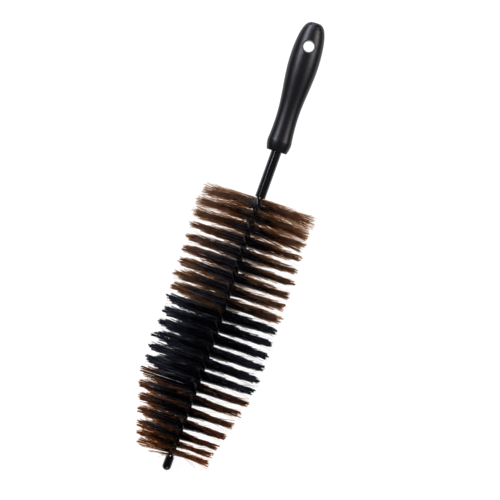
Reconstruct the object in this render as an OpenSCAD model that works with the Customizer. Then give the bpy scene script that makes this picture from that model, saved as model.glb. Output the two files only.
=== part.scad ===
// Barrel brush for wheel rims: bristles pinched in a twisted wire, under a moulded grip.
// Every piece is drawn upright on the wire's axis, from the tip at z = 0 up to the grip,
// and is then laid down on its bristles along X, with the grip towards +X.

/* [Bristle head] */
// Diameter over the bristles along the straight part of the head
head_d = 108.8; // [90:0.2:125]
// Diameter over the bristles at the last row, next to the tip
head_tip_d = 69.5; // [50:0.5:85]
// Length of the stretch over which the head narrows to the tip
taper_l = 74; // [40:1:120]
// Fullness of the taper: 1 is a straight cone, more is rounder
taper_full = 1.2; // [1:0.1:2]
// Distance from one bristle row to the next
row_pitch = 12.25; // [11:0.05:14]
// The same distance at the tip, where the wire is twisted tighter
tip_pitch = 8.2; // [7:0.1:11]
// How far the bristle ends under the brush give way to the floor
floor_give = 1; // [0.2:0.1:3]

/* [Bristle tufts] */
// Share of the bristle length that is still one dense web of hairs
web_share = 0.45; // [0.3:0.05:0.6]
// Thickness of the hairs where the wire pinches them
root_t = 0.4; // [0.2:0.1:0.5]
// Thickness of the web where it opens into tufts
web_t = 1.4; // [0.8:0.1:2.4]
// Number of tufts along each side of a row
tufts = 18; // [12:1:18]
// How far the tuft ends fan out to each side of their row
fan_out = 2.3; // [0.5:0.1:3]
// Share of the way along a row that is free between the tuft ends
tuft_gap = 0.16; // [0.06:0.02:0.4]
// Share of their length by which the tufts differ
ragged = 0.09; // [0:0.01:0.2]
// Clearance between one row and the next where they meet
row_gap = 0.3; // [0.1:0.1:0.6]

/* [Twisted wire] */
// Thickness of each coated wire
wire_d = 2.8; // [2:0.1:3.2]
// Space between the two wires, which the hairs fill
pinch = 0.8; // [0.6:0.1:1.2]
// Length of wire inside the grip
wire_in_grip = 50; // [25:1:75]
// Play round the twisted wire in its sleeve, in the grip and in the cap
wire_play = 0.3; // [0.1:0.05:0.6]
// Height above the tip at which the wire begins to lean sideways
bent_from = 134; // [90:1:180]
// Lean of the wire between there and the tip, in degrees
tip_lean = 1.6; // [0:0.1:3]
// Lean of the wire to the other side from the sleeve on, in degrees
stem_lean = 1.3; // [0:0.1:3]

/* [Sleeve and tip cap] */
// Outer diameter of the sleeve over the bare stem
sleeve_d = 10.1; // [9:0.1:11]
// Length of sleeve that shows between the bristles and the grip
stem_l = 46.6; // [20:0.2:90]
// Length of sleeve pushed into the grip
sleeve_in_grip = 18; // [8:1:22]
// Play round the sleeve in the grip's mouth
sleeve_play = 0.2; // [0.1:0.05:0.5]
// Length of the tip cap
cap_l = 13.8; // [11:0.2:20]
// Wall of the tip cap at its open end
cap_wall = 0.75; // [0.6:0.05:1.5]
// Extra radius of the cap's rounded nose
cap_bulge = 0.15; // [0:0.05:0.4]
// Space between the end rows and the sleeve or the cap
end_gap = 0.3; // [0.1:0.1:0.6]

/* [Grip] */
// Length of the grip
grip_l = 128.4; // [110:0.2:150]
// Width at the belly, the widest place
belly_w = 29.3; // [25:0.1:34]
// Distance from the butt to the belly
belly_from_butt = 38.2; // [30:0.2:45]
// Width at the waist, the narrowest place
waist_w = 20.8; // [18:0.1:23]
// Distance from the mouth to the waist
waist_from_mouth = 33.4; // [24:0.2:42]
// Width of the flare that stops the fingers
flare_w = 23.6; // [21:0.1:27]
// Distance from the mouth to the flare
flare_from_mouth = 9.9; // [6:0.1:14]
// Width at the mouth
mouth_w = 20.2; // [17.5:0.1:21]
// Rounding of the mouth's edge
mouth_edge = 0.8; // [0.4:0.1:1.2]
// Share of the width that the grip is thick
thick_share = 0.7; // [0.66:0.02:1]
// Lean of the grip back across the wire's line, in degrees
grip_lean = 1.3; // [0:0.1:4]

/* [Hang hole] */
// Diameter of the hole's straight middle
hole_d = 10.2; // [6:0.1:12]
// Distance from the butt to the hole
hole_from_butt = 23.8; // [16:0.2:30]
// Length of the hole's straight middle
hole_land = 4; // [3:0.5:8]
// Radius of the curve by which the hole opens towards both faces
hole_flare_r = 16.7; // [12:0.1:40]

/* [Hidden] */

// Rows, and how many of them keep the wide pitch
rows = 22;
even_rows = 20;
// Last row of the first brown band and of the black band
brown_rows = 9;
black_rows = 15;
// Steps of a row's twist along the wire
hub_steps = 6;

// Heights along the wire, from the tip up
last_row_z = cap_l + end_gap + web_t / 2 + tip_pitch / 2;
even_row_z = last_row_z + tip_pitch * (rows - even_rows);
first_row_z = even_row_z + row_pitch * (even_rows - 1);
stem_z = first_row_z + row_pitch / 2 + web_t / 2 + end_gap;
mouth_z = stem_z + stem_l;
total_l = mouth_z + grip_l;

// The two wires and the hollows that take them
wire_q = (wire_d + pinch) / 2;
core_d = 2 * wire_q + wire_d;
core_bore = core_d + wire_play;
axis_h = head_d / 2 - floor_give;

// Height of the twist after s half turns: row 1 lies at s = 1
function twist_z(s) = s <= even_rows ? even_row_z + row_pitch * (even_rows - s)
                                     : even_row_z - tip_pitch * (s - even_rows);
// Fall of the twist for each radian of turn
function twist_fall(s) = (s <= even_rows ? row_pitch : tip_pitch) / PI;

// Radius over the bristles at a height
function head_r(z) = let (u = min(1, max(0, (z - last_row_z) / taper_l)))
    (head_tip_d + (head_d - head_tip_d) * (1 - pow(1 - u, taper_full))) / 2;

// Sideways offset of the bent wire at a height, and a point that follows it
function sway(z) = z < bent_from ? -(bent_from - z) * tan(tip_lean)
    : max(0, z - stem_z) * tan(stem_lean);
function swayed(p) = p + [sway(p[2]), 0, 0];

// Lays an upright piece down along X on its bristles
module lay() {
    translate([-total_l / 2, 0, axis_h]) rotate([-90, 0, 0]) rotate([0, 90, 0]) children();
}

// --- Bristle rows: half a turn of the twist each, opening into tufts with cut ends ---

// Unit normal of the twisted web at angle a and signed radius q
function web_normal(a, q, fall) = [-fall * sin(a), fall * cos(a), q] / norm([fall, q]);

// Point on one face of the web (face = 1 or -1) of row k at angle a and signed radius q
function web_point(k, a, q, rim, face) =
    let (s = k + a / 180, t = root_t + (web_t - root_t) * min(1, abs(q) / rim))
    [q * cos(a), q * sin(a), twist_z(s)] + face * t / 2 * web_normal(a, q, twist_fall(s));

// A chance from 0 to 1 for each row, place and side, so that no two tufts are alike
function chance(k, i, side) = let (c = 0.618 * i + 0.37 * k + 0.29 * side) c - floor(c);

// Angles at which the tufts of row k meet, from one edge of its half turn to the other
function tuft_edges(k, edge) =
    let (wide = [for (i = [0:tufts - 1]) 0.7 + 0.6 * chance(k, 2 * i, 0)],
        all = wide * [for (w = wide) 1])
    [for (i = 0, done = 0; i <= tufts; done = done + (i < tufts ? wide[i] : 0), i = i + 1)
        edge * (2 * done / all - 1)];

// Reach of a tuft towards angle w at height z: ragged, but even where the floor stops it
function tuft_reach(z, w, r) = let (full = head_r(z), floor_r = axis_h / max(0.001, sin(w)))
    min(floor_r, full * (1 - ragged * r));

// Corner of the cut end of tuft i of row k, at angle a on one side, on its upper or lower face
function tuft_corner(k, i, a, side, face) =
    let (z = twist_z(k + a / 180), w = side > 0 ? a : a + 180, q = tuft_reach(z, w, chance(k, i, side)))
    [q * cos(w), q * sin(w), z + side * face * fan_out * (0.8 + 0.2 * chance(k, i + 7, side))];

// Triangles that close the strip between a coarse and a fine row of points, by their angles
function zip(ca, fa, c0, f0, i = 0, j = 0) =
    i == len(ca) - 1 && j == len(fa) - 1 ? [] :
    j < len(fa) - 1 && (i == len(ca) - 1 || fa[j + 1] <= (ca[i] + ca[i + 1]) / 2)
        ? concat([[c0 + i, f0 + j, f0 + j + 1]], zip(ca, fa, c0, f0, i, j + 1))
        : concat([[c0 + i, f0 + j, c0 + i + 1]], zip(ca, fa, c0, f0, i + 1, j));

function flip(faces) = [for (f = faces) [f[2], f[1], f[0]]];
function halves(quad) = [[quad[0], quad[1], quad[2]], [quad[0], quad[2], quad[3]]];

module bristle_row(k) {
    tint = k <= brown_rows ? "#5f3c22" : k <= black_rows ? "#16191b" : "#6e4218";
    n = tufts;
    m = hub_steps;
    rim0 = web_share * head_r(twist_z(k));
    edge = 90 - asin(row_gap / 2 / rim0);
    hub = [for (i = [0:m]) edge * (2 * i / m - 1)];
    met = tuft_edges(k, edge);
    rim = [for (a = met) web_share * head_r(twist_z(k + a / 180))];
    free = tuft_gap / 2;

    // Points: the hub's two faces, then for each side both rims and four corners for each tuft
    points = concat(
        [for (f = [1, -1]) for (a = hub) web_point(k, a, 0, rim0, f)],
        [for (side = [1, -1]) each concat(
            [for (f = [1, -1]) for (i = [0:n]) web_point(k, met[i], side * rim[i], rim[i], f)],
            [for (i = [0:n - 1])
                let (a = met[i], b = met[i + 1], a_end = a + free * (b - a), b_end = b - free * (b - a))
                each [tuft_corner(k, i, a_end, side, 1), tuft_corner(k, i, b_end, side, 1),
                    tuft_corner(k, i, b_end, side, -1), tuft_corner(k, i, a_end, side, -1)]])]);
    hub_up = 0;
    hub_low = m + 1;
    side_count = 6 * n + 2;
    faces = [for (b = [0, 1]) each
        let (up = 2 * m + 2 + b * side_count, low = up + n + 1, ends = low + n + 1,
            web_up = zip(hub, met, hub_up, up), web_low = zip(hub, met, hub_low, low),
            walls = [for (i = [0:n - 1]) let (e = ends + 4 * i) each concat(
                halves([up + i + 1, up + i, e, e + 1]), halves([low + i, low + i + 1, e + 2, e + 3]),
                halves([up + i, low + i, e + 3, e]), halves([up + i + 1, e + 1, e + 2, low + i + 1]),
                halves([e + 1, e, e + 3, e + 2]))],
            edges = [[hub_up, hub_low, up], [hub_low, low, up],
                [hub_up + m, up + n, low + n], [hub_up + m, low + n, hub_low + m]],
            all = concat(flip(concat(web_up, walls, edges)), web_low))
        b == 0 ? all : flip(all)];
    color(tint) lay() polyhedron([for (p = points) swayed(p)], faces, convexity = 10);
}

// --- Core wire: one coated wire bent double, the bend in the cap, twisted left-handed ---

bend_z = cap_wall * 2 + core_bore / 2;
bend_s = even_rows + (even_row_z - bend_z) / tip_pitch;
wire_top_s = 1 - (mouth_z + wire_in_grip - first_row_z) / row_pitch;
wire_sides = 6;

function wire_point(s, side) = [side * wire_q * cos(180 * s - 90), side * wire_q * sin(180 * s - 90),
    twist_z(s)];
function unit(v) = v / norm(v);

// One leg's half turns, coarser inside the sleeve and the grip
leg = concat([for (s = [wire_top_s:0.25:0.45]) s], [for (s = [0.5:0.2:bend_s - 0.1]) s], [bend_s]);
bend_out = unit([cos(180 * bend_s - 90), sin(180 * bend_s - 90), 0]);
bend = [for (a = [36:36:144]) [wire_q * cos(a) * bend_out - [0, 0, wire_q * sin(a)],
    cos(a) * bend_out - [0, 0, sin(a)]]];
wire_path = [for (p = concat(
    [for (s = leg) wire_point(s, 1)],
    [for (b = bend) b[0] + [0, 0, bend_z]],
    [for (i = [len(leg) - 1:-1:0]) wire_point(leg[i], -1)])) swayed(p)];
wire_out = concat(
    [for (s = leg) wire_point(s, 1) - [0, 0, twist_z(s)]],
    [for (b = bend) b[1]],
    [for (i = [len(leg) - 1:-1:0]) wire_point(leg[i], -1) - [0, 0, twist_z(leg[i])]]);

// Tube of a number of sides along a path, where out points away from the bend at each ring
module tube(path, out, d, sides) {
    last = len(path) - 1;
    rings = [for (i = [0:last])
        let (t = unit(path[min(i + 1, last)] - path[max(i - 1, 0)]),
            b = unit(cross(t, out[i])), n = cross(b, t))
        for (j = [0:sides - 1])
            path[i] + d / 2 * (cos(360 * j / sides) * n + sin(360 * j / sides) * b)];
    walls = [for (i = [0:last - 1]) for (j = [0:sides - 1])
        let (p = i * sides + j, q = i * sides + (j + 1) % sides)
        each [[p, p + sides, q], [q, p + sides, q + sides]]];
    polyhedron(rings, concat(walls,
        [[for (j = [0:sides - 1]) j]], [[for (j = [sides - 1:-1:0]) last * sides + j]]),
        convexity = 10);
}

module core_wire() {
    color("#1b1b1d") lay() tube(wire_path, wire_out, wire_d, wire_sides);
}

// --- Tip cap: closed round nose over the wire's bend ---

cap_r = core_bore / 2 + cap_wall;

module tip_cap() {
    nose_r = cap_r + cap_bulge;
    color("#101012") lay() translate([sway(0), 0, 0]) rotate([0, tip_lean, 0]) difference() {
        union() {
            translate([0, 0, nose_r]) sphere(r = nose_r, $fn = 48);
            translate([0, 0, nose_r]) cylinder(r1 = nose_r, r2 = cap_r, h = cap_l - nose_r, $fn = 48);
        }
        translate([0, 0, bend_z]) sphere(d = core_bore, $fn = 48);
        translate([0, 0, bend_z]) cylinder(d = core_bore, h = cap_l, $fn = 48);
    }
}

// --- Stem sleeve: plain tube over the wire between the bristles and the grip ---

module stem_sleeve() {
    round_r = (sleeve_d - core_bore) / 4;
    wall_mid = (sleeve_d + core_bore) / 4;
    color("#0e0e10") lay() translate([0, 0, stem_z]) rotate([0, stem_lean, 0])
    rotate_extrude($fn = 64) union() {
        translate([core_bore / 2, round_r])
            square([2 * round_r, stem_l + sleeve_in_grip - round_r]);
        translate([wall_mid, round_r]) circle(r = round_r, $fn = 32);
    }
}

// --- Grip: oval moulding with a waist, a finger flare and a hole to hang it by ---

// Half outline of the grip, from the mouth up to the butt
grip_outline = concat([[0, 0]],
    [for (a = [0:30:90]) [mouth_w / 2 - mouth_edge * (1 - sin(a)), mouth_edge * (1 - cos(a))]],
    [for (t = [0.2:0.2:1]) [(flare_w - (flare_w - mouth_w) * pow(1 - t, 1.8)) / 2,
        mouth_edge + (flare_from_mouth - mouth_edge) * t]],
    [for (t = [0.125:0.125:1]) [(waist_w + (flare_w - waist_w) * pow(1 - t, 2)) / 2,
        flare_from_mouth + (waist_from_mouth - flare_from_mouth) * t]],
    [for (i = [1:12]) [(waist_w + belly_w - (belly_w - waist_w) * cos(15 * i)) / 4,
        waist_from_mouth + (grip_l - belly_from_butt - waist_from_mouth) * i / 12]],
    [for (a = [81:-9:9]) [belly_w / 2 * pow(sin(a), 0.59), grip_l - belly_from_butt * (1 - cos(a))]],
    [[0, grip_l]]);

// Straight in the middle, and opened by a curve towards both faces
module hang_hole() {
    wall_x = hole_d / 2;
    rotate_extrude($fn = 64) difference() {
        translate([0, -belly_w / 2]) square([wall_x + hole_flare_r, belly_w]);
        translate([wall_x, -hole_land / 2]) square([hole_flare_r, hole_land]);
        for (side = [-1, 1])
            translate([wall_x + hole_flare_r, side * hole_land / 2]) circle(r = hole_flare_r, $fn = 96);
    }
}

// Body of the grip before it is bored, a half from each side of the mould
module grip_body() {
    scale([1, thick_share, 1]) for (side = [0, 1])
        mirror([0, side, 0]) rotate_extrude(angle = 180, $fn = 96) polygon(grip_outline);
}

module grip() {
    color("#2b2b2f") lay() translate([sway(mouth_z), 0, mouth_z]) difference() {
        rotate([0, -grip_lean, 0]) difference() {
            grip_body();
            translate([0, 0, grip_l - hole_from_butt]) rotate([90, 0, 0]) hang_hole();
        }
        rotate([0, stem_lean, 0]) {
            translate([0, 0, -2]) cylinder(d = sleeve_d + sleeve_play, h = 2 + sleeve_in_grip, $fn = 64);
            translate([0, 0, -2]) cylinder(d = core_bore, h = 2 + wire_in_grip + wire_d / 2, $fn = 48);
        }
    }
}

grip();
stem_sleeve();
core_wire();
tip_cap();
bristle_row(1);  // bristle_row_01
bristle_row(2);  // bristle_row_02
bristle_row(3);  // bristle_row_03
bristle_row(4);  // bristle_row_04
bristle_row(5);  // bristle_row_05
bristle_row(6);  // bristle_row_06
bristle_row(7);  // bristle_row_07
bristle_row(8);  // bristle_row_08
bristle_row(9);  // bristle_row_09
bristle_row(10);  // bristle_row_10
bristle_row(11);  // bristle_row_11
bristle_row(12);  // bristle_row_12
bristle_row(13);  // bristle_row_13
bristle_row(14);  // bristle_row_14
bristle_row(15);  // bristle_row_15
bristle_row(16);  // bristle_row_16
bristle_row(17);  // bristle_row_17
bristle_row(18);  // bristle_row_18
bristle_row(19);  // bristle_row_19
bristle_row(20);  // bristle_row_20
bristle_row(21);  // bristle_row_21
bristle_row(22);  // bristle_row_22
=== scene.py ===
# %% [markdown]
# # A wheel rim brush, dressed
#
# This lesson dresses a barrel brush for wheel rims: a satin black grip, a glossy sleeve, and
# twenty-two rows of bristles that a twisted wire pinches. The solid model is loaded first and
# stays where it is. Everything made here sits on it, in metres, with the brush lying along X
# on its bristles and the grip towards +X.

import bpy
import numpy as np
from mathutils import Matrix, Vector


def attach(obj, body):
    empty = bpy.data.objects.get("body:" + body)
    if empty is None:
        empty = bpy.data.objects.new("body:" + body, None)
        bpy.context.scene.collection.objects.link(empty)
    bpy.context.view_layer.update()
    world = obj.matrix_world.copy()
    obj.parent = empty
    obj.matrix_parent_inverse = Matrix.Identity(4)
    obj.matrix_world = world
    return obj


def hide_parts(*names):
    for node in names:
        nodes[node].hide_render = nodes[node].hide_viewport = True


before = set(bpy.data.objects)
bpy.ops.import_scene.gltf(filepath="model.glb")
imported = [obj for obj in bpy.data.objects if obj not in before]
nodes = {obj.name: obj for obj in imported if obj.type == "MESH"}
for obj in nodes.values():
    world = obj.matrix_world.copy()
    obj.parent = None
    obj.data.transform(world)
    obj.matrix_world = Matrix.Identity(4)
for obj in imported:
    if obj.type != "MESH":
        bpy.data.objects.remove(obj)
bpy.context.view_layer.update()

# %% [markdown]
# ## Working values
#
# The solid model was drawn in millimetres from the brush's tip, with the wire as its axis. Its
# main sizes are repeated here, so that the bristles and the wire follow the same twist. One
# function turns a place on that axis into the lying brush.

# %% Sizes of the twist, in millimetres from the tip
MM = 0.001
ROWS = 22
EVEN_ROWS = 20  # the two rows after these lie closer together
ROW_PITCH = 12.25
TIP_PITCH = 8.2
EVEN_ROW_Z = 35.3
LAST_ROW_Z = 18.9
HEAD_D = 108.8
HEAD_TIP_D = 69.5
TAPER_L = 74.0
TAPER_FULL = 1.2  # a plain cone would be 1
BENT_FROM = 134.0
TIP_LEAN = 1.6  # degrees
STEM_Z = 275.175
STEM_LEAN = 1.3  # degrees
TOTAL_L = 450.175
AXIS_H = 53.4  # how high the wire lies over the floor


def twist_z(s):
    """Height of the twist after s half turns. Row 1 lies at s = 1, next to the grip."""
    even = EVEN_ROW_Z + ROW_PITCH * (EVEN_ROWS - s)
    return np.where(s <= EVEN_ROWS, even, EVEN_ROW_Z - TIP_PITCH * (s - EVEN_ROWS))


def head_r(z):
    """Radius over the bristles at a height: a cylinder that rounds off towards the tip."""
    u = np.clip((z - LAST_ROW_Z) / TAPER_L, 0, 1)
    return (HEAD_TIP_D + (HEAD_D - HEAD_TIP_D) * (1 - (1 - u) ** TAPER_FULL)) / 2


def sway(z):
    """Sideways offset of the bent wire: the tip leans one way, and the stem the other."""
    return (np.maximum(0, z - STEM_Z) * np.tan(np.radians(STEM_LEAN))
            - np.maximum(0, BENT_FROM - z) * np.tan(np.radians(TIP_LEAN)))


def lay(x, y, z):
    """Points of the upright brush, in mm, as points of the lying brush in metres."""
    along = z - TOTAL_L / 2 + 0 * x  # the last term gives it the shape that x has
    return MM * np.stack([along, -x - sway(z), AXIS_H - y], axis=-1)


print("first and last row at", [round(float(twist_z(s) - TOTAL_L / 2)) for s in (1, ROWS)], "mm")

# %% [markdown]
# ## Camera
#
# The photograph looks straight down on the brush, which leans 18 degrees to the right. The lens
# is long: the camera hangs 2.6 metres above the brush, so the rows stay nearly parallel, but the
# small change of angle along the brush decides which side of the core shows white gaps.

# %% Camera
LEAN = np.radians(18.4)
FIELD_OF_VIEW = np.radians(10.48)
EYE = Vector((0.0250, -0.0030, 2.6534))
AIM = Vector((-0.0003, -0.0067, 0.0534))
photo_up = Vector((np.cos(LEAN), np.sin(LEAN), 0))
photo_right = Vector((np.sin(LEAN), -np.cos(LEAN), 0))


def facing(place, target):
    """Stands a camera or lamp at a place and turns it to a target, with the photo's top up."""
    back = (place - target).normalized()
    side = photo_up.cross(back).normalized()
    turn = Matrix((side, back.cross(side), back)).transposed()
    return Matrix.Translation(place) @ turn.to_4x4()


camera = bpy.data.objects.new("camera", bpy.data.cameras.new("camera"))
bpy.context.scene.collection.objects.link(camera)
camera.matrix_world = facing(EYE, AIM)
camera.data.angle = FIELD_OF_VIEW
bpy.context.scene.camera = camera
print("camera at", [round(c, 3) for c in EYE], "lens", round(camera.data.lens, 1), "mm")

# %% [markdown]
# ## Colours and nodes
#
# Colours are written as the hex values that a paint program shows. Blender's sockets want
# linear light, so one function converts them. A second small function adds a node with its
# settings and its links, and a third starts a finish with its shader. The materials below
# need no more than that.

# %% Colour and node helpers
def linear(hex_code):
    """An sRGB hex value as linear red, green, blue and alpha, by the sRGB curve."""
    parts = [int(hex_code[i:i + 2], 16) / 255 for i in (1, 3, 5)]
    return [p / 12.92 if p <= 0.04045 else ((p + 0.055) / 1.055) ** 2.4 for p in parts] + [1.0]


def add_node(tree, kind, settings=None, links=None):
    """Adds a node. Settings name its sockets or properties, and links feed sockets from outputs."""
    node = tree.nodes.new(kind)
    for key, value in (settings or {}).items():
        if isinstance(key, int) or key in node.inputs:
            node.inputs[key].default_value = value
        else:
            setattr(node, key, value)
    for key, output in (links or {}).items():
        tree.links.new(output, node.inputs[key])
    return node


def new_finish(name, settings):
    """A material with one Principled shader that takes these even values on its own sockets."""
    material = bpy.data.materials.new(name)
    material.use_nodes = True
    tree = material.node_tree
    tree.nodes.clear()
    shader = add_node(tree, "ShaderNodeBsdfPrincipled", settings)
    add_node(tree, "ShaderNodeOutputMaterial", links={"Surface": shader.outputs[0]})
    return material, tree, shader


print("mid grey in linear light:", [round(c, 3) for c in linear("#808080")[:3]])

# %% [markdown]
# ## Floor and light
#
# The photograph is a cut-out on white. The floor here is matt and pale, so it takes the soft
# shadow of the brush, and what the camera sees of it is lifted most of the way to white. Light
# that comes up through a bristle, or is mirrored in the plastic, finds it lifted in the same
# way. More lamps would whiten the floor too, but they would wash out the black grip.

# %% Floor
FLOOR_HALF = 4.0
FLOOR_LIFT = 0.8  # how much of the floor's look is glow, where it is lifted
FLOOR_GLOW = 1.15


def lifted(tree, share):
    """A factor that is this share for what a camera, mirror or clear thing sees, and else 0."""
    path = add_node(tree, "ShaderNodeLightPath")
    seen = path.outputs["Is Camera Ray"]
    for kind in ("Is Glossy Ray", "Is Transmission Ray"):
        seen = add_node(tree, "ShaderNodeMath", {"operation": "MAXIMUM"},
                        {0: seen, 1: path.outputs[kind]}).outputs[0]
    scaled = add_node(tree, "ShaderNodeMath", {"operation": "MULTIPLY", 1: share}, {0: seen})
    return scaled.outputs[0]


floor_mesh = bpy.data.meshes.new("floor")
floor_mesh.from_pydata([(x * FLOOR_HALF, y * FLOOR_HALF, 0) for x, y in
                        ((-1, -1), (1, -1), (1, 1), (-1, 1))], [], [(0, 1, 2, 3)])
floor = bpy.data.objects.new("floor", floor_mesh)
bpy.context.scene.collection.objects.link(floor)

paper = bpy.data.materials.new("paper_matt_white")
paper.use_nodes = True
tree = paper.node_tree
tree.nodes.clear()
matt = add_node(tree, "ShaderNodeBsdfDiffuse", {"Color": linear("#f4f4f4")})
glow = add_node(tree, "ShaderNodeEmission", {"Color": (1, 1, 1, 1), "Strength": FLOOR_GLOW})
mix = add_node(tree, "ShaderNodeMixShader",
               links={0: lifted(tree, FLOOR_LIFT), 1: matt.outputs[0], 2: glow.outputs[0]})
add_node(tree, "ShaderNodeOutputMaterial", links={"Surface": mix.outputs[0]})
floor_mesh.materials.append(paper)
print("floor", 2 * FLOOR_HALF, "m square")

# %% [markdown]
# Four softboxes hang round the brush: a long cool one to the left, a weaker and warmer one to
# the right, a weak one beyond the tip, and a bluish one beyond the grip, which brightens its
# butt. Nothing bright is straight above. That is what gives the grip its two long soft bands
# with a dark one between them. The sky is dim, apart from what the camera sees of it.

# %% Softboxes and sky
LAMPS = {  # name: right, up and height in m, as the photo sees them; size in m; watts; colour
    "softbox_left": ((-0.70, 1.10, 1.30), (0.36, 1.5), 24, "#f2f3ff"),
    "softbox_right": ((1.12, 0.42, 1.30), (0.45, 1.0), 12, "#fff6fa"),
    "softbox_near": ((0.10, -1.30, 1.00), (0.9, 0.45), 6, "#f4f4ff"),
    "softbox_far": ((-0.10, 1.80, 1.00), (0.9, 0.5), 14, "#d8e0ff"),
}
LAMP_AIM = Vector((0, 0, 0.05))
SKY_STRENGTH = 0.08

for name, (place, size, watts, colour) in LAMPS.items():
    lamp = bpy.data.objects.new(name, bpy.data.lights.new(name, "AREA"))
    bpy.context.scene.collection.objects.link(lamp)
    lamp.data.shape = "RECTANGLE"
    lamp.data.size, lamp.data.size_y = size
    lamp.data.energy = watts
    lamp.data.color = linear(colour)[:3]
    stand = place[0] * photo_right + place[1] * photo_up + Vector((0, 0, place[2]))
    lamp.matrix_world = facing(stand, LAMP_AIM)

world = bpy.data.worlds.new("studio")
bpy.context.scene.world = world
world.use_nodes = True
tree = world.node_tree
tree.nodes.clear()
sky = add_node(tree, "ShaderNodeBackground", {"Color": linear("#dfe8fa"), "Strength": SKY_STRENGTH})
white = add_node(tree, "ShaderNodeBackground", {"Color": (1, 1, 1, 1), "Strength": 1.0})
camera_ray = add_node(tree, "ShaderNodeLightPath").outputs["Is Camera Ray"]
mix = add_node(tree, "ShaderNodeMixShader",
               links={0: camera_ray, 1: sky.outputs[0], 2: white.outputs[0]})
add_node(tree, "ShaderNodeOutputWorld", links={"Surface": mix.outputs[0]})
bpy.context.scene.view_settings.view_transform = "Standard"
print("lamps:", len(LAMPS), "watts in all:", sum(lamp[2] for lamp in LAMPS.values()))

# %% [markdown]
# ## The grip
#
# The real grip is a solid moulding in polypropylene or ABS. Its mould was spark eroded, which
# leaves a very fine grain, so the black looks dark grey and its highlights are broad and soft.
# The grain is a fifth of a millimetre on the real one and far too fine for the render, so it
# is drawn at half a millimetre. Real dents would cost millions of faces, and a bump gives the
# same soft highlight. Slow clouds of a slightly lighter black keep it from looking painted.
# The solid's own shape is right, and only its finish is made here.

# %% Moulded grip plastic
GRAIN_MM = 0.5
CLOUD_MM = 14.0
GRAIN_BUMP = {"Strength": 0.12, "Distance": 0.02 * MM}

satin, tree, shader = new_finish("polypropylene_moulded_satin",
                                 {"Roughness": 0.34, "IOR": 1.49, "Base Color": linear("#060608")})
place = add_node(tree, "ShaderNodeTexCoord").outputs["Object"]
cloud = add_node(tree, "ShaderNodeTexNoise", {"Scale": 1 / (CLOUD_MM * MM), "Detail": 3.0},
                 {"Vector": place})
tone = add_node(tree, "ShaderNodeMix",
                {"data_type": "RGBA", 6: linear("#050507"), 7: linear("#08080c")},
                {0: cloud.outputs["Fac"]})
grain = add_node(tree, "ShaderNodeTexNoise", {"Scale": 1 / (GRAIN_MM * MM), "Detail": 2.0},
                 {"Vector": place})
bump = add_node(tree, "ShaderNodeBump", GRAIN_BUMP, {"Height": grain.outputs["Fac"]})
tree.links.new(tone.outputs[2], shader.inputs["Base Color"])
tree.links.new(bump.outputs[0], shader.inputs["Normal"])


def wear(node_name, finish):
    """Gives a solid of the frame this finish in every slot."""
    mesh = nodes[node_name].data
    for slot in range(max(1, len(mesh.materials))):
        if slot < len(mesh.materials):
            mesh.materials[slot] = finish
        else:
            mesh.materials.append(finish)


wear("grip", satin)
print("grip wears", satin.name)

# %% [markdown]
# ## Sleeve
#
# The bare stem wears a PVC tube, deep black and so glossy that one thin bright line runs its
# whole length. It was pulled through a die, which leaves faint lines along it. A wave texture
# would make them too even, so they are noise that is stretched along the tube. They are drawn
# coarser than the real ones, so that they show.

# %% Extruded sleeve
DIE_LINE_MM = 0.6
DIE_STRETCH = (0.03, 1, 1)  # a small scale along X makes long lines of round spots
DIE_BUMP = {"Strength": 0.15, "Distance": 0.02 * MM}

extruded, tree, shader = new_finish("pvc_extruded_gloss", {"Roughness": 0.16, "IOR": 1.53,
                                                           "Base Color": linear("#0c0c0d")})
place = add_node(tree, "ShaderNodeTexCoord").outputs["Object"]
drawn = add_node(tree, "ShaderNodeMapping", {"Scale": DIE_STRETCH}, {"Vector": place})
lines = add_node(tree, "ShaderNodeTexNoise", {"Scale": 1 / (DIE_LINE_MM * MM), "Detail": 2.0},
                 {"Vector": drawn.outputs[0]})
tone = add_node(tree, "ShaderNodeMix",
                {"data_type": "RGBA", 6: linear("#050506"), 7: linear("#0a0a0c")},
                {0: lines.outputs["Fac"]})
bump = add_node(tree, "ShaderNodeBump", DIE_BUMP, {"Height": lines.outputs["Fac"]})
tree.links.new(tone.outputs[2], shader.inputs["Base Color"])
tree.links.new(bump.outputs[0], shader.inputs["Normal"])
wear("stem_sleeve", extruded)
print("sleeve wears", extruded.name)

# %% [markdown]
# ## Tip cap
#
# The wire's sharp bend wears a cap of dipped vinyl. Such a skin is glossy and never quite
# round, so slow swells bend its highlight a little. They could be modelled, but on so small a
# piece only the highlight shows them, and for that a bump is enough.

# %% Dipped cap
SWELL_MM = 3.0
SWELL_BUMP = {"Strength": 0.3, "Distance": 0.12 * MM}

dipped, tree, shader = new_finish("vinyl_dipped_gloss",
                                  {"Roughness": 0.14, "IOR": 1.53, "Base Color": linear("#09090a")})
place = add_node(tree, "ShaderNodeTexCoord").outputs["Object"]
swell = add_node(tree, "ShaderNodeTexNoise", {"Scale": 1 / (SWELL_MM * MM), "Detail": 1.0},
                 {"Vector": place})
tone = add_node(tree, "ShaderNodeMix",
                {"data_type": "RGBA", 6: linear("#040405"), 7: linear("#09090b")},
                {0: swell.outputs["Fac"]})
bump = add_node(tree, "ShaderNodeBump", SWELL_BUMP, {"Height": swell.outputs["Fac"]})
tree.links.new(tone.outputs[2], shader.inputs["Base Color"])
tree.links.new(bump.outputs[0], shader.inputs["Normal"])
wear("tip_cap", dipped)
print("cap wears", dipped.name)

# %% [markdown]
# ## Building tubes
#
# The wire and every bristle are tubes along a path. Blender's curves with a bevel could make
# them, but tens of thousands of curves are slow, and each strand needs its own thickness and
# its own shade. So one function takes all paths of a piece at once, as an array, and lays
# rings of points round them. Flat ends close each tube.

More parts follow.
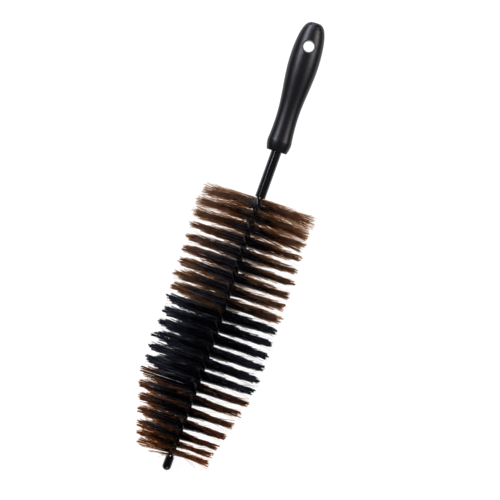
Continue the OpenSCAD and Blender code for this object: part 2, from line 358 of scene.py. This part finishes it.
# %% Tubes from many paths at once
def frames(paths, hint):
    """Two unit vectors across each path at each of its points, starting from a hint."""
    along = np.gradient(paths, axis=1)
    along /= np.linalg.norm(along, axis=2, keepdims=True)
    first = np.cross(along, np.broadcast_to(hint, along.shape))
    first /= np.linalg.norm(first, axis=2, keepdims=True)
    return first, np.cross(along, first)


def tube_mesh(name, paths, radii, sides, hint, turn=0.0):
    """A mesh of closed tubes. Paths are strands x points x 3, radii are strands x points."""
    strands, count = paths.shape[:2]
    across, up = frames(paths, hint)
    angle = 2 * np.pi * np.arange(sides) / sides + np.reshape(turn, (-1, 1, 1))
    ring = (np.cos(angle)[..., None] * across[:, :, None]
            + np.sin(angle)[..., None] * up[:, :, None])
    points = paths[:, :, None] + radii[:, :, None, None] * ring

    i, j = np.meshgrid(np.arange(count - 1), np.arange(sides), indexing="ij")
    j_next = (j + 1) % sides
    walls = np.stack([i * sides + j, i * sides + j_next,
                      (i + 1) * sides + j_next, (i + 1) * sides + j], axis=-1).reshape(-1, 4)
    first = (np.arange(strands) * count * sides)[:, None, None]
    walls = (first + walls).reshape(-1, 4)
    rim = np.arange(sides)
    ends = (first + np.stack([rim[::-1], (count - 1) * sides + rim])).reshape(-1, sides)

    mesh = bpy.data.meshes.new(name)
    mesh.vertices.add(points.size // 3)
    mesh.vertices.foreach_set("co", points.astype(np.float32).ravel())
    corners = np.concatenate([walls.ravel(), ends.ravel()]).astype(np.int32)
    mesh.loops.add(len(corners))
    mesh.loops.foreach_set("vertex_index", corners)
    sizes = np.concatenate([np.full(len(walls), 4), np.full(len(ends), sides)])
    starts = np.concatenate([[0], np.cumsum(sizes)[:-1]]).astype(np.int32)
    mesh.polygons.add(len(sizes))
    mesh.polygons.foreach_set("loop_start", starts)
    mesh.update(calc_edges=True)
    mesh.shade_smooth()
    return mesh


def add_piece(name, mesh, finish, node_name):
    """Puts a mesh in the scene in place of a solid of the frame."""
    piece = bpy.data.objects.new(name, mesh)
    bpy.context.scene.collection.objects.link(piece)
    mesh.materials.append(finish)
    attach(piece, "root")
    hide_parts(node_name)


print("tube builder ready")

# %% [markdown]
# ## The twisted wire
#
# The core is one steel wire with a black coat, bent double and twisted left-handed, with its
# bend inside the cap. Between the rows it shows as two strands, and each strand gives a small
# glint every half turn. It could be a rope texture on a rod, but then its edge would be
# straight, so both strands are real tubes along the path that the solid follows.

# %% Twisted wire
WIRE_D = 2.8
WIRE_Q = 1.8  # from the axis to the middle of a strand
BEND_Z = 4.85
WIRE_TOP_Z = 371.775
WIRE_SIDES = 14
STEPS_PER_HALF_TURN = 10
BEND_STEP = 12  # degrees
ACROSS_WIRE = Vector((0.05, 1, 0.02))  # the wire never runs this way
BEND_S = EVEN_ROWS + (EVEN_ROW_Z - BEND_Z) / TIP_PITCH  # half turns, as twist_z counts them
TOP_S = EVEN_ROWS - (WIRE_TOP_Z - EVEN_ROW_Z) / ROW_PITCH

leg_s = np.linspace(TOP_S, BEND_S, round((BEND_S - TOP_S) * STEPS_PER_HALF_TURN) + 1)
leg_angle = np.pi * leg_s - np.pi / 2
leg_z = twist_z(leg_s)
legs = [(sign * WIRE_Q * np.cos(leg_angle), sign * WIRE_Q * np.sin(leg_angle), leg_z)
        for sign in (1, -1)]
bend = np.radians(np.arange(BEND_STEP, 180, BEND_STEP))
arc = (WIRE_Q * np.cos(bend) * np.cos(leg_angle[-1]), WIRE_Q * np.cos(bend) * np.sin(leg_angle[-1]),
       BEND_Z - WIRE_Q * np.sin(bend))
wire_path = lay(*(np.concatenate([a, b, c[::-1]]) for a, b, c in zip(legs[0], arc, legs[1])))
wire_radii = np.full((1, len(wire_path)), WIRE_D / 2 * MM)
wire_mesh = tube_mesh("twisted_wire", wire_path[None], wire_radii, WIRE_SIDES, ACROSS_WIRE)
print("wire:", len(wire_mesh.polygons), "faces")

# %% [markdown]
# Its coat is nylon, fused on as powder. That leaves a thick, slightly rippled gloss, like
# orange peel. The real ripples are about a millimetre from crest to crest. They are drawn
# almost twice as coarse, so that they break up the glints in the render. A bump does here
# too, since the bristles hide the wire's outline.

# %% Coat of the wire
PEEL_MM = 1.8
PEEL_BUMP = {"Strength": 1.0, "Distance": 0.5 * MM}

coated, tree, shader = new_finish("steel_wire_nylon_coated",
                                  {"Roughness": 0.25, "IOR": 1.53, "Specular IOR Level": 0.9,
                                   "Base Color": linear("#08080a")})
place = add_node(tree, "ShaderNodeTexCoord").outputs["Object"]
peel = add_node(tree, "ShaderNodeTexNoise", {"Scale": 1 / (PEEL_MM * MM), "Detail": 1.0},
                {"Vector": place})
tone = add_node(tree, "ShaderNodeMix",
                {"data_type": "RGBA", 6: linear("#06070c"), 7: linear("#10121c")},
                {0: peel.outputs["Fac"]})
bump = add_node(tree, "ShaderNodeBump", PEEL_BUMP, {"Height": peel.outputs["Fac"]})
tree.links.new(tone.outputs[2], shader.inputs["Base Color"])
tree.links.new(bump.outputs[0], shader.inputs["Normal"])
add_piece("twisted_wire", wire_mesh, coated, "core_wire")
print("wire wears", coated.name)

# %% [markdown]
# ## The bristles' colour
#
# The bristles are nylon filament, drawn through a die and cut flat. Brown nylon is clear: a few
# hairs in front of the white floor glow brown, while a dense row stays nearly black. A band of
# rows in the middle is black throughout. So the finish mixes a glossy surface with a share of
# light that passes straight through the hair, tinted. A glass shader would do this as well,
# but light would need dozens of bounces to cross a row. The share fades out towards the wire,
# where the hairs are packed. There the colour darkens to a painted shade, and a few hairs carry
# a painted bluish sheen that shows as thin streaks.
#
# A hair knows four things: how far along it a point lies, how pale it is, how deep the painted
# shade at its root reaches, and which faces are its cut ends, which take that painted shade too.
# They are stored on the mesh as attributes, and the material mixes its colours from them.

# %% Bristle filament
HAIR_SHINE = {"Roughness": 0.27, "IOR": 1.53, "Specular Tint": linear("#d4dcff")}
ROOT_SHADE_FADE = {"From Min": -0.12, "From Max": 0.16}  # round the depth of the painted shade at a hair's root
SHEEN_STREAK_POWER = 2.5  # a higher one leaves fewer hairs with a painted sheen at the root
SMOOTH = {"interpolation_type": "SMOOTHSTEP"}
COLOURS = {"data_type": "RGBA"}


def filament(name, root, sheen_streak, body, pale_and_sheen, through, share, gloss):
    """Nylon filament. At the wire its colour goes by hair from a painted shade to a painted sheen
    that shows as streaks. Further out it goes from the body colour to the pale one, which in the
    black filament is a painted sheen as well. Out there this share of the light passes through
    it. Gloss is how strongly it mirrors."""
    finish, tree, shader = new_finish(name, {**HAIR_SHINE, "Specular IOR Level": gloss,
                                             "Base Color": linear(body)})
    along, shade, root_shade, cut = (
        add_node(tree, "ShaderNodeAttribute", {"attribute_name": kind}).outputs["Fac"]
        for kind in ("along", "shade", "root_shade", "cut"))
    hair = add_node(tree, "ShaderNodeMix", {**COLOURS, 6: linear(body), 7: linear(pale_and_sheen)}, {0: shade})
    beyond = add_node(tree, "ShaderNodeMath", {"operation": "SUBTRACT"}, {0: along, 1: root_shade})
    leaving = add_node(tree, "ShaderNodeMapRange", {**SMOOTH, **ROOT_SHADE_FADE},
                       {"Value": beyond.outputs[0]})
    # Near the wire the colour is a painted shade, with a painted sheen on the rarer pale hairs.
    rare = add_node(tree, "ShaderNodeMath", {"operation": "POWER", 1: SHEEN_STREAK_POWER}, {0: shade})
    deep = add_node(tree, "ShaderNodeMix", {**COLOURS, 6: linear(root), 7: linear(sheen_streak)},
                    {0: rare.outputs[0]})
    coloured = add_node(tree, "ShaderNodeMix", COLOURS,
                        {0: leaving.outputs[0], 6: deep.outputs[2], 7: hair.outputs[2]})
    # Cut ends take the root's painted shade.
    shaded_cut_ends = add_node(tree, "ShaderNodeMix", {**COLOURS, 7: linear(root)},
                       {0: cut, 6: coloured.outputs[2]})
    tree.links.new(shaded_cut_ends.outputs[2], shader.inputs["Base Color"])
    clear = add_node(tree, "ShaderNodeMath", {"operation": "MULTIPLY", 1: share},
                     {0: leaving.outputs[0]})
    passing = add_node(tree, "ShaderNodeBsdfTransparent", {"Color": linear(through)})
    mix = add_node(tree, "ShaderNodeMixShader",
                   links={0: clear.outputs[0], 1: shader.outputs[0], 2: passing.outputs[0]})
    output = next(node for node in tree.nodes if node.type == "OUTPUT_MATERIAL")
    tree.links.new(mix.outputs[0], output.inputs["Surface"])
    return finish


# The root colours are painted shade, and the streak colours are painted sheen.
brown = filament("nylon_filament_brown", root="#03030c", sheen_streak="#84828e", body="#2c201a",
                 pale_and_sheen="#a07c50", through="#fae4cc", share=0.7, gloss=0.48)
# In the black filament the pale hairs are a painted grey sheen, not a paler colour.
black = filament("nylon_filament_black", root="#02030a", sheen_streak="#6c6e7c", body="#020308",
                 pale_and_sheen="#1a1b22", through="#b0b4b8", share=0.04, gloss=0.2)
tan = filament("nylon_filament_tan", root="#03030a", sheen_streak="#605654", body="#341e0e",
               pale_and_sheen="#a46c36", through="#f7d7ad", share=0.7, gloss=0.35)
print("filaments:", brown.name, black.name, tan.name)

# %% [markdown]
# ## The bristles' shape
#
# Every bristle crosses the wire and sticks out on both sides, and the twist turns each one a
# little further than its neighbour. So a row is half a turn of a double screw. Blender has a
# hair system, but here each hair must be a closed mesh of its own, so the paths are worked out
# with arrays.
#
# Real rows aren't even. Hairs stick together in locks of a few, and in tufts with small gaps
# between their ends. Some hairs stray, and the first rows at the grip are looser. What changes
# along the head is kept in small tables of row numbers and values, and a row between two of
# them takes a value in between. Side 1 is the photograph's right, and side -1 its left.

# %% Tufts along one side of a row
TUFTS = 18
TUFT_LEAST = 0.7  # the narrowest tuft against an average one
TUFT_MORE = 0.6  # what chance adds at most
ROW_GAP = 0.3  # mm between two rows where their webs' rims meet
WEB_SHARE = 0.45  # how much of a hair lies in the thin web at the wire
PLACE_CHANCE = 0.618
ROW_CHANCE = 0.37
SIDE_CHANCE = 0.29


def by_row(k, table):
    """A table's value for row k."""
    return np.interp(k, list(table), list(table.values()))


def chance(k, i, side):
    """The solid model's chance from 0 to 1, so that tufts lie and end where its tufts do."""
    c = PLACE_CHANCE * i + ROW_CHANCE * k + SIDE_CHANCE * side
    return c - np.floor(c)


def tuft_edges(k):
    """Angles in degrees at which the tufts of row k meet."""
    edge = 90 - np.degrees(np.arcsin(ROW_GAP / 2 / (WEB_SHARE * head_r(twist_z(k)))))
    wide = TUFT_LEAST + TUFT_MORE * chance(k, 2 * np.arange(TUFTS), 0)
    return edge * (2 * np.concatenate([[0], np.cumsum(wide)]) / wide.sum() - 1)


print("tuft ends about", round(np.pi * HEAD_D / 2 / TUFTS, 1), "mm wide")

# %% [markdown]
# Seen from the tip, the hairs of a tuft draw together towards their ends, which leaves a small
# gap before the next tuft. The tufts at a row's two edges spread instead, because a gap there
# would fall in line with those of all other rows and open a slit through the whole head.

# %% Where the ends point
TUFT_GAP = 0.16
EDGE_SPREAD = 1.2
END_NOISE = 0.35  # degrees, as the next one
STRAY_NOISE = 4.0


def end_angles(angle, tuft, middle, stray, loose, rng):
    """Angles in degrees at which hairs end that leave the wire at these angles."""
    at_edge = (tuft == 0) | (tuft == TUFTS - 1)
    ends = middle + (angle - middle) * np.where(at_edge, EDGE_SPREAD, 1 - TUFT_GAP)
    ends = ends + rng.normal(0, END_NOISE, len(angle)) * loose
    return ends + stray * rng.normal(0, STRAY_NOISE, len(angle))


print("tufts draw together by", round(100 * TUFT_GAP), "percent")

# %% [markdown]
# Seen from the side, a row leaves the wire as a thin web and fans out from there. The first
# rows fan out most, and their ends lean away from the grip. On the photograph's left, rows 2
# to 7 fan out less where their hairs point up or down, which leaves white slivers in between.

# %% How far a row fans out
WEB_T = 1.4  # mm thick
FAN_OUT = 2.3  # mm to either side, in a row of plain looseness
FAN_LEAST = 0.8
FAN_MORE = 0.2
FAN_CHANCE = 7  # places further on, so that a tuft's fan and its length differ
RIM_NOISE = 0.25  # mm, as the next one
STRAY_LIFT = 2.5
SAG = 2.2  # how far, in mm, the ends of the first row lean away from the grip
SAG_ROWS = {1: 1, 4: 0}
SAG_SIDES = {1: 1, -1: 0.65}
SLACK = {1: 1, 2: 0.6, 4: 0.3, 6: 0.5, 9: 1}  # the web's thickness against its plain one
LOOSE = {  # how much more than plain a side of a row fans out
    1: {1: 2.7, 2: 2.3, 3: 1.8, 4: 1.15, 6: 1.15, 7: 1.5, 9: 1.6, 10: 1.35, 15: 1.4, 20: 1.25,
        22: 1.5},
    -1: {1: 2.5, 3: 2.2, 4: 0.9, 6: 1.1, 9: 1.25, 10: 1.05, 15: 0.95, 22: 1.0},
}
FLAT_AND_STEEP = (20, 60)  # degrees from the horizontal
STEEP_FAN = {1: {1: 1}, -1: {1: 1, 3: 0.5, 6: 0.5, 8: 1}}  # the steep hairs' fan against the rest


def lifts(k, side, tuft, middle, spot, stray, loose, rng):
    """How far hairs lie up the wire from where they leave it, at the web's rim and at the end."""
    fan = FAN_OUT * (FAN_LEAST + FAN_MORE * chance(k, tuft + FAN_CHANCE, side)) * loose
    fan = fan * np.interp(np.abs(middle), FLAT_AND_STEEP, [1, by_row(k, STEEP_FAN[side])])
    rim = (spot * WEB_T / 2 * loose + rng.normal(0, RIM_NOISE, len(spot))) * by_row(k, SLACK)
    end = spot * fan + stray * rng.normal(0, STRAY_LIFT, len(spot))
    return rim, end - SAG * by_row(k, SAG_ROWS) * SAG_SIDES[side]


print("rows 1 and 22 fan out", [round(FAN_OUT * LOOSE[1][k], 1) for k in (1, ROWS)], "mm on the right")

# %% [markdown]
# The head was trimmed on a lathe, so the ends keep to a barrel, give or take a few millimetres.
# A tuft ends at its own length, as the solid's does, and in steps, bundle by bundle. Every
# twentieth hair or so is shorter still. The last table says how many millimetres a side of a
# row stands out past the barrel in the photograph, and below 0 how far it falls short.

# %% How far hairs reach
REACH = 1.07  # the longest hair, as a share of the barrel's radius
RAGGED = 0.09  # what a tuft takes off that share at most
BUNDLES = 4
BUNDLE_STEPS = {1: 0.02, 3: 0.04, 9: 0.05, 10: 0.09, 15: 0.09, 16: 0.05}  # what a bundle does
UNCUT = 0.02  # what a lock does, and a single hair once more
SHORT_HAIRS = 0.05
SHORT_BY = 0.2
UNEVEN = {
    1: {2: 2, 3: 1, 4: 1, 9: 2, 10: 2.7, 11: 2.7, 12: 0.5, 16: -0.5, 18: 0, 20: 0, 21: -1, 22: 3.2},
    -1: {1: -1, 2: 1.3, 3: 3, 4: 0.8, 15: 0.8, 16: 3, 17: 2.5, 19: 1.3, 20: 1.3, 21: 0, 22: 0},
}


def reaches(k, side, z, tuft, spot, lock, rng):
    """Distances in mm from the wire's axis to the hairs' ends."""
    half = BUNDLES // 2
    bundle = np.clip((half + half * spot).astype(int), 0, BUNDLES - 1)
    step = rng.random((TUFTS // 2, BUNDLES))[tuft // 2, bundle]
    reach = head_r(z) * (REACH - RAGGED * chance(k, tuft, side) - by_row(k, BUNDLE_STEPS) * step
                         - UNCUT * rng.random(lock[-1] + 1)[lock] - UNCUT * rng.random(len(spot)))
    reach = reach + by_row(k, UNEVEN[side])
    short = rng.random(len(spot)) < SHORT_HAIRS
    return reach * (1 - SHORT_BY * short * rng.random(len(spot)))


print("longest hairs reach", round(REACH * HEAD_D / 2, 1), "mm, before the table adds its part")

# %% [markdown]
# One side of a hair has three points: where it leaves the wire, at the rim of the web, and at
# its end. The hairs of a lock lie at about the same spot across the row. In loose rows more of
# them stray.

# %% One side of a row
STRAYS = 0.03  # the share of hairs that stray, in a row of plain looseness
SPOT_NOISE = 0.15
SPOT_MOST = 1.15
SLEEVE_CLEAR_Z = 274.6  # no hair reaches higher than this, so the sleeve's end stays in sight
ALONG = np.array([0.0, WEB_SHARE, 1.0])


def side_path(k, share, side, lock, rng):
    """Where one side's hairs run: radius, angle and height at each of their three points."""
    loose = by_row(k, LOOSE[side])
    edges = tuft_edges(k)
    angle = edges[0] + (edges[-1] - edges[0]) * share
    tuft = np.clip(np.searchsorted(edges, angle, side="right") - 1, 0, TUFTS - 1)
    middle = (edges[tuft] + edges[tuft + 1]) / 2
    stray = rng.random(len(share)) < STRAYS * loose ** 2
    end_angle = end_angles(angle, tuft, middle, stray, loose, rng)

    spot = rng.uniform(-1, 1, lock[-1] + 1)[lock] + rng.normal(0, SPOT_NOISE, len(share))
    spot = np.clip(spot, -SPOT_MOST, SPOT_MOST)
    rim_lift, end_lift = lifts(k, side, tuft, middle, spot, stray, loose, rng)
    z = twist_z(k + angle / 180)
    reach = reaches(k, side, z, tuft, spot, lock, rng)

    half_turn = 0 if side > 0 else 180
    rim_angle = angle + WEB_SHARE * (end_angle - angle)
    turned = np.radians(half_turn + np.stack([angle, rim_angle, end_angle], 1))
    height = z[:, None] + np.stack([0 * z, rim_lift, end_lift], 1)
    return reach[:, None] * ALONG, turned, np.minimum(height, SLEEVE_CLEAR_Z)


print("points along one side, as shares of a hair:", [float(a) for a in ALONG])

# %% [markdown]
# One row's hairs are now the two sides joined at the wire, each hair a little off the axis
# because hairs lie side by side in the pinch. The last row runs out where the twist ends, so
# its later hairs are few. Ends that would go through the floor are held just above it, so the
# brush has a small flat to rest on.
#
# Hairs share a few dozen kinds, so that a flat map can hold every kind in a band of its own.
# A lock takes one kind, and a few of its hairs differ.

# %% Hairs of one row
KINDS = 64
HAIR_R = 0.15
HAIRS = {1: 650, 3: 700, 5: 850, 9: 900, 10: 1300, 15: 1300, 16: 900, 20: 800, 21: 600, 22: 450}
LOCK_HAIRS = {1: 5, 3: 6, 4: 9, 9: 10, 10: 13, 15: 13, 16: 9}
RUN_OUT = ((0.55, 0.7), (1, 0.25))  # how far round the last row, and the share of hairs left
PINCH = 0.25  # mm to either side of the axis
ODD_HAIRS = 0.2  # the share of a lock's hairs that differ
FLOOR_CLEAR = 0.05


def row_paths(k, rng):
    """Paths of a row's hairs, in metres, and each one's kind."""
    count = int(by_row(k, HAIRS))
    share = (np.arange(count) + rng.random(count)) / count
    if k == ROWS:
        share = share[rng.random(count) < np.interp(share, *RUN_OUT)]
    count = len(share)
    lock = np.arange(count) // int(by_row(k, LOCK_HAIRS))
    layer = rng.uniform(-PINCH, PINCH, count)[:, None]
    middle = np.pi * (share[:, None] - 0.5)
    sides = []
    for side in (-1, 1):
        radius, turned, z = side_path(k, share, side, lock, rng)
        x = radius * np.cos(turned) - layer * np.sin(middle)
        y = radius * np.sin(turned) + layer * np.cos(middle)
        sides.append(lay(x, y, z))
    paths = np.concatenate([sides[0][:, ::-1], sides[1][:, 1:]], axis=1)
    paths[..., 2] = np.maximum(paths[..., 2], (HAIR_R + FLOOR_CLEAR) * MM)
    kinds = rng.integers(0, KINDS, lock[-1] + 1)[lock]
    odd = rng.random(count) < ODD_HAIRS
    return paths, np.where(odd, rng.integers(0, KINDS, count), kinds)


print("hairs in rows 1, 10 and 20:", [int(by_row(k, HAIRS)) for k in (1, 10, 20)])

# %% [markdown]
# Each kind of hair has its own paleness and its own depth of painted shade at the root. The
# painted shade reaches furthest out in the first tan rows. Blender could unwrap the hairs, but
# thousands of thin strips would leave each one hardly a pixel. So the flat map lays a kind's
# walls along its band and puts the cut ends at the band's far end, and colours can be baked
# into a small picture later.

# %% Kinds of hair, and a flat map that holds them
HAIR_SIDES = 3
# How far along a hair, by row, its colour stays a painted shade at the root.
ROOT_SHADE_DEPTH = {1: 0.15, 3: 0.35, 5: 0.58, 9: 0.62, 16: 0.82, 20: 0.7, 22: 0.3}
ROOT_SHADE_SPREAD = 0.12
SHADE_POWER = {19: 2, 21: 1}  # the last rows hold more pale hairs
BAND_LOW, BAND_HIGH = 0.2, 0.8
MAP_EDGE, MAP_WIDTH = 0.01, 0.98
CUT_U = (0.98, 0.98, 1.0)
CUT_V = (BAND_LOW, BAND_HIGH, 0.5)


def flat_map(along, kinds):
    """Map places of all corners of a row's faces: first every hair's walls, and then the ends."""
    start, stop = along[:-1], along[1:]
    walls = len(start) * HAIR_SIDES
    wall_u = np.repeat(np.stack([start, start, stop, stop], 1), HAIR_SIDES, axis=0)
    wall_v = np.tile([BAND_LOW, BAND_HIGH, BAND_HIGH, BAND_LOW], (walls, 1))
    u = np.concatenate([np.tile(wall_u.ravel(), len(kinds)), np.tile(CUT_U, 2 * len(kinds))])
    v = np.concatenate([np.tile(wall_v.ravel(), len(kinds)), np.tile(CUT_V, 2 * len(kinds))])
    band = np.concatenate([np.repeat(kinds, 4 * walls), np.repeat(kinds, 2 * HAIR_SIDES)])
    return np.stack([MAP_EDGE + MAP_WIDTH * u, (band + v) / KINDS], 1)


def describe_hairs(mesh, kinds, k, rng):
    """Stores along, shade, the depth of painted root shade and cut on a row's mesh, and the flat map
    named OFBake.
    """
    along = np.abs(np.concatenate([ALONG[::-1], ALONG[1:]]))
    shade = rng.random(KINDS) ** by_row(k, SHADE_POWER)
    # How deep each kind's painted root shade reaches.
    root_shade = by_row(k, ROOT_SHADE_DEPTH) + rng.uniform(-ROOT_SHADE_SPREAD, ROOT_SHADE_SPREAD, KINDS)
    kind_at = np.repeat(kinds, len(along) * HAIR_SIDES)
    along_at = np.tile(np.repeat(along, HAIR_SIDES), len(kinds))
    for name, values in (("along", along_at), ("shade", shade[kind_at]), ("root_shade", root_shade[kind_at])):
        stored = mesh.attributes.new(name, "FLOAT", "POINT")
        stored.data.foreach_set("value", values.astype(np.float32))

    faces = len(mesh.polygons)
    cut = np.arange(faces) >= faces - 2 * len(kinds)
    mesh.attributes.new("cut", "FLOAT", "FACE").data.foreach_set("value", cut.astype(np.float32))
    places = flat_map(along, kinds).astype(np.float32)
    mesh.uv_layers.new(name="OFBake").uv.foreach_set("vector", places.ravel())


print("kinds of hair:", KINDS, "each in a band", round(1 / KINDS, 4), "of the map high")

# %% [markdown]
# Now every row is made. Each has a seed of its own, so a change to one row leaves the others
# as they are. A hair is a tube of three sides, drawn 0.3 mm thick and a little thinner towards
# its ends. Rows 1 to 9 are brown, rows 10 to 15 black, and the rest tan.

# %% All rows of bristles
SEED = 700
THICKNESS = (0.85, 1.1)  # the thinnest and the thickest hair against a plain one
HAIR_TAPER = ((-1, -0.3, 0.3, 1), (0.8, 1, 1, 0.8))  # from end to end, and how thick
ALONG_BRUSH = Vector((1, 0.01, 0.02))  # no hair runs this way
LAST_BROWN = 9
LAST_BLACK = 15

triangles = 0
for k in range(1, ROWS + 1):
    rng = np.random.default_rng(SEED + k)
    paths, kinds = row_paths(k, rng)
    taper = np.interp(np.linspace(-1, 1, paths.shape[1]), *HAIR_TAPER)
    thin = rng.uniform(*THICKNESS, (len(paths), 1)) * taper
    turn = rng.uniform(0, 2 * np.pi, len(paths))
    mesh = tube_mesh(f"bristles_{k:02d}", paths, HAIR_R * MM * thin, HAIR_SIDES, ALONG_BRUSH, turn)
    describe_hairs(mesh, kinds, k, rng)
    if k <= LAST_BROWN:
        finish, slot = brown, "brown_bristle"
    elif k <= LAST_BLACK:
        finish, slot = black, "black_bristle"
    else:
        finish, slot = tan, "tan_bristle"
    add_piece(f"bristles_{k:02d}", mesh, finish, f"bristle_row_{k:02d}")
    triangles += 2 * len(mesh.polygons) - 2 * len(paths)  # a wall is two, and a cut end is one
print("bristle triangles:", triangles)
